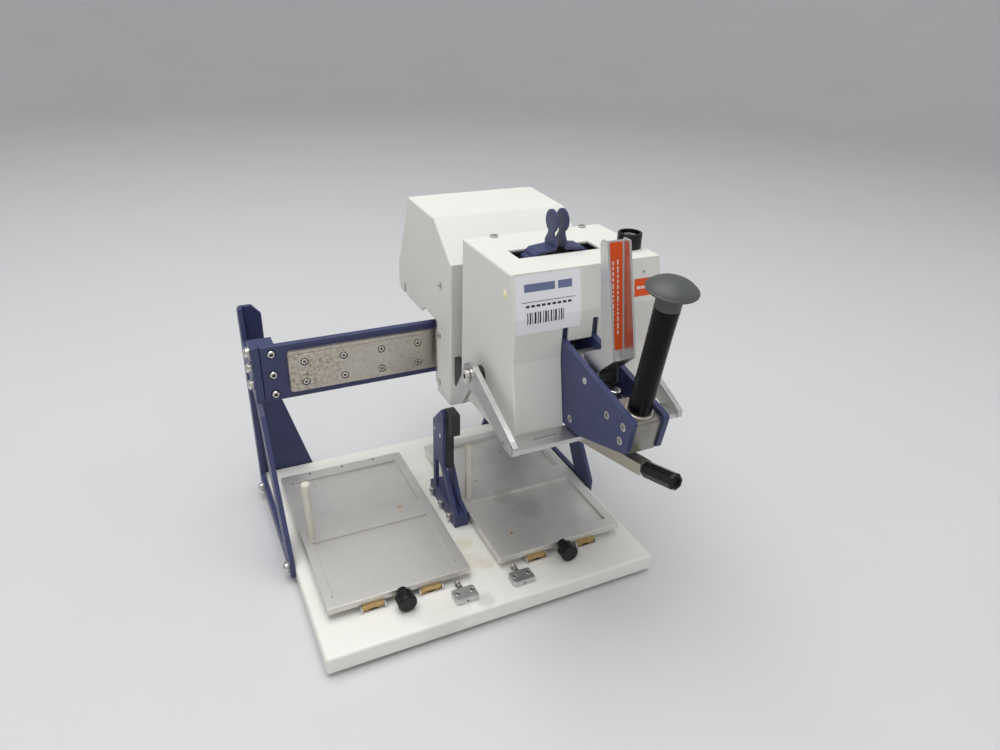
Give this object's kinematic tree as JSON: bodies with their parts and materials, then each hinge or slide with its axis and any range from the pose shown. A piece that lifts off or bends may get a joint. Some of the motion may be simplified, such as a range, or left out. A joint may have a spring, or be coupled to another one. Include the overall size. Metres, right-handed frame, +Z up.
{
  "type": "benchtop pipetting station",
  "caption": "Hand-operated multichannel pipetting station: two microplate drawers, a frame with a sliding carriage, a lifting head and a plunger handle.",
  "frame": {"origin": "centre of the bounding box's footprint, at the underside of the rubber feet", "axes": "+Z up; -Y towards the user, who holds the handle; +X to the user's right, along the cross beam"},
  "size_m": [0.3776, 0.467, 0.3895],
  "materials": {
    "cream_paint": "semi-gloss powder coat, stained",
    "cover_paint": "fine textured off-white powder coat",
    "blue_paint": "satin blue-violet powder coat",
    "foot_rubber": "matte",
    "rail_steel": "brushed, light rust bloom",
    "screw_steel": "satin",
    "bearing_steel": "ground",
    "bridge_steel": "bright rolled sheet",
    "bare_aluminium": "clear anodised",
    "tray_aluminium": "blasted and hard anodised, milling marks in the pockets",
    "runner_brass": "dull",
    "pin_chrome": "polished",
    "black_plastic": "matte",
    "black_gloss": "gloss phenolic",
    "cream_plastic": "matte, aged"
  },
  "bodies": {
    "base": {"base_plate": "cream_paint", "rubber_feet": "foot_rubber", "left_side_plate": "blue_paint", "right_side_plate": "blue_paint", "rear_plates": "blue_paint", "end_blocks": "blue_paint", "cross_beam": "blue_paint", "beam_rail": "rail_steel", "rail_screws": "screw_steel", "frame_screws": "screw_steel", "centre_post": "blue_paint", "post_pad": "black_plastic", "stop_blocks": "bare_aluminium", "base_screws": "screw_steel", "tray_slides": "bare_aluminium"},
    "left_drawer": {"left_tray": "tray_aluminium", "left_tray_runners": "runner_brass", "left_tray_knob": "black_gloss", "left_tray_peg": "cream_plastic"},
    "right_drawer": {"right_tray": "tray_aluminium", "right_tray_runners": "runner_brass", "right_tray_knob": "black_gloss", "right_tray_peg": "cream_plastic"},
    "carriage": {"rear_cover": "cover_paint", "rear_cover_screws": "screw_steel", "carriage_frame": "bare_aluminium", "rail_bearings": "bearing_steel", "lift_rails": "bearing_steel", "spring_reels": "black_plastic", "reel_axle": "bearing_steel"},
    "head": {"front_cover": "cover_paint", "front_cover_screws": "screw_steel", "head_chassis": "bare_aluminium", "lift_bearings": "bearing_steel", "guide_block": "black_plastic", "cylinder_block": "bare_aluminium", "nozzles": "bearing_steel", "load_hubs": "black_plastic", "arm_bolts": "screw_steel", "tab_carriers": "bearing_steel"},
    "plunger": {"press_plates": "blue_paint", "handle_block": "bare_aluminium", "bridge_sheets": "bridge_steel", "piston_plate": "bare_aluminium", "pistons": "bearing_steel", "press_screws": "screw_steel", "press_pins": "pin_chrome", "handle_ring": "runner_brass", "handle_grip": "black_gloss", "handle_cap": "black_gloss"},
    "lever": {"lock_lever": "bridge_steel"},
    "volume_stop": {"volume_knob": "black_gloss", "volume_screw": "bearing_steel"},
    "tab_left": {"left_tab": "blue_paint"},
    "tab_right": {"right_tab": "blue_paint"},
    "load_frame": {"load_arms": "bare_aluminium", "load_crossbar": "bare_aluminium", "load_lever": "bridge_steel", "load_grip": "black_gloss"},
    "stripper": {"stripper_plate": "bearing_steel"}
  },
  "joints": [
    {"name": "left_drawer_slide", "type": "slide", "parent": "base", "child": "left_drawer", "axis": [0, -1, 0], "range_m": [0, 0.1141]},
    {"name": "right_drawer_slide", "type": "slide", "parent": "base", "child": "right_drawer", "axis": [0, -1, 0], "range_m": [0, 0.1141]},
    {"name": "carriage_slide", "type": "slide", "parent": "base", "child": "carriage", "axis": [1, 0, 0], "range_m": [-0.1812, 0]},
    {"name": "head_lift", "type": "slide", "parent": "carriage", "child": "head", "axis": [0, 0, 1], "range_m": [-0.092, 0], "stiffness_N_per_m": 60, "springref_m": 1.3},
    {"name": "plunger_slide", "type": "slide", "parent": "head", "child": "plunger", "axis": [0, 0, 1], "range_m": [0, 0.0115]},
    {"name": "lock_lever_hinge", "type": "hinge", "parent": "plunger", "child": "lever", "pos_m": [0.081, -0.1185, 0.266], "axis": [1, 0, 0], "range_deg": [0, 14], "stiffness_Nm_per_rad": 0.15, "springref_deg": -22.92},
    {"name": "volume_turn", "type": "hinge", "parent": "head", "child": "volume_stop", "pos_m": [0.151, -0.0375, 0.359], "axis": [0, 0, 1], "continuous": true},
    {"name": "left_tab_hinge", "type": "hinge", "parent": "head", "child": "tab_left", "pos_m": [0.054, -0.021, 0.345], "axis": [0, 1, 0], "range_deg": [0, 5.5], "stiffness_Nm_per_rad": 0.1, "springref_deg": -17.19},
    {"name": "right_tab_hinge", "type": "hinge", "parent": "head", "child": "tab_right", "pos_m": [0.11, -0.021, 0.345], "axis": [0, -1, 0], "range_deg": [0, 5.5], "stiffness_Nm_per_rad": 0.1, "springref_deg": -17.19},
    {"name": "load_frame_hinge", "type": "hinge", "parent": "head", "child": "load_frame", "pos_m": [0.08945, -0.0135, 0.232], "axis": [1, 0, 0], "range_deg": [0, 20], "stiffness_Nm_per_rad": 1.2, "springref_deg": -28.65},
    {"name": "stripper_slide", "type": "slide", "parent": "head", "child": "stripper", "axis": [0, 0, -1], "range_m": [0, 0.005]}
  ],
  "couplings": [
    {"joint": "right_tab_hinge", "follows": "left_tab_hinge", "ratio": 1},
    {"joint": "stripper_slide", "follows": "load_frame_hinge", "m_per_rad": 0.0143}
  ]
}
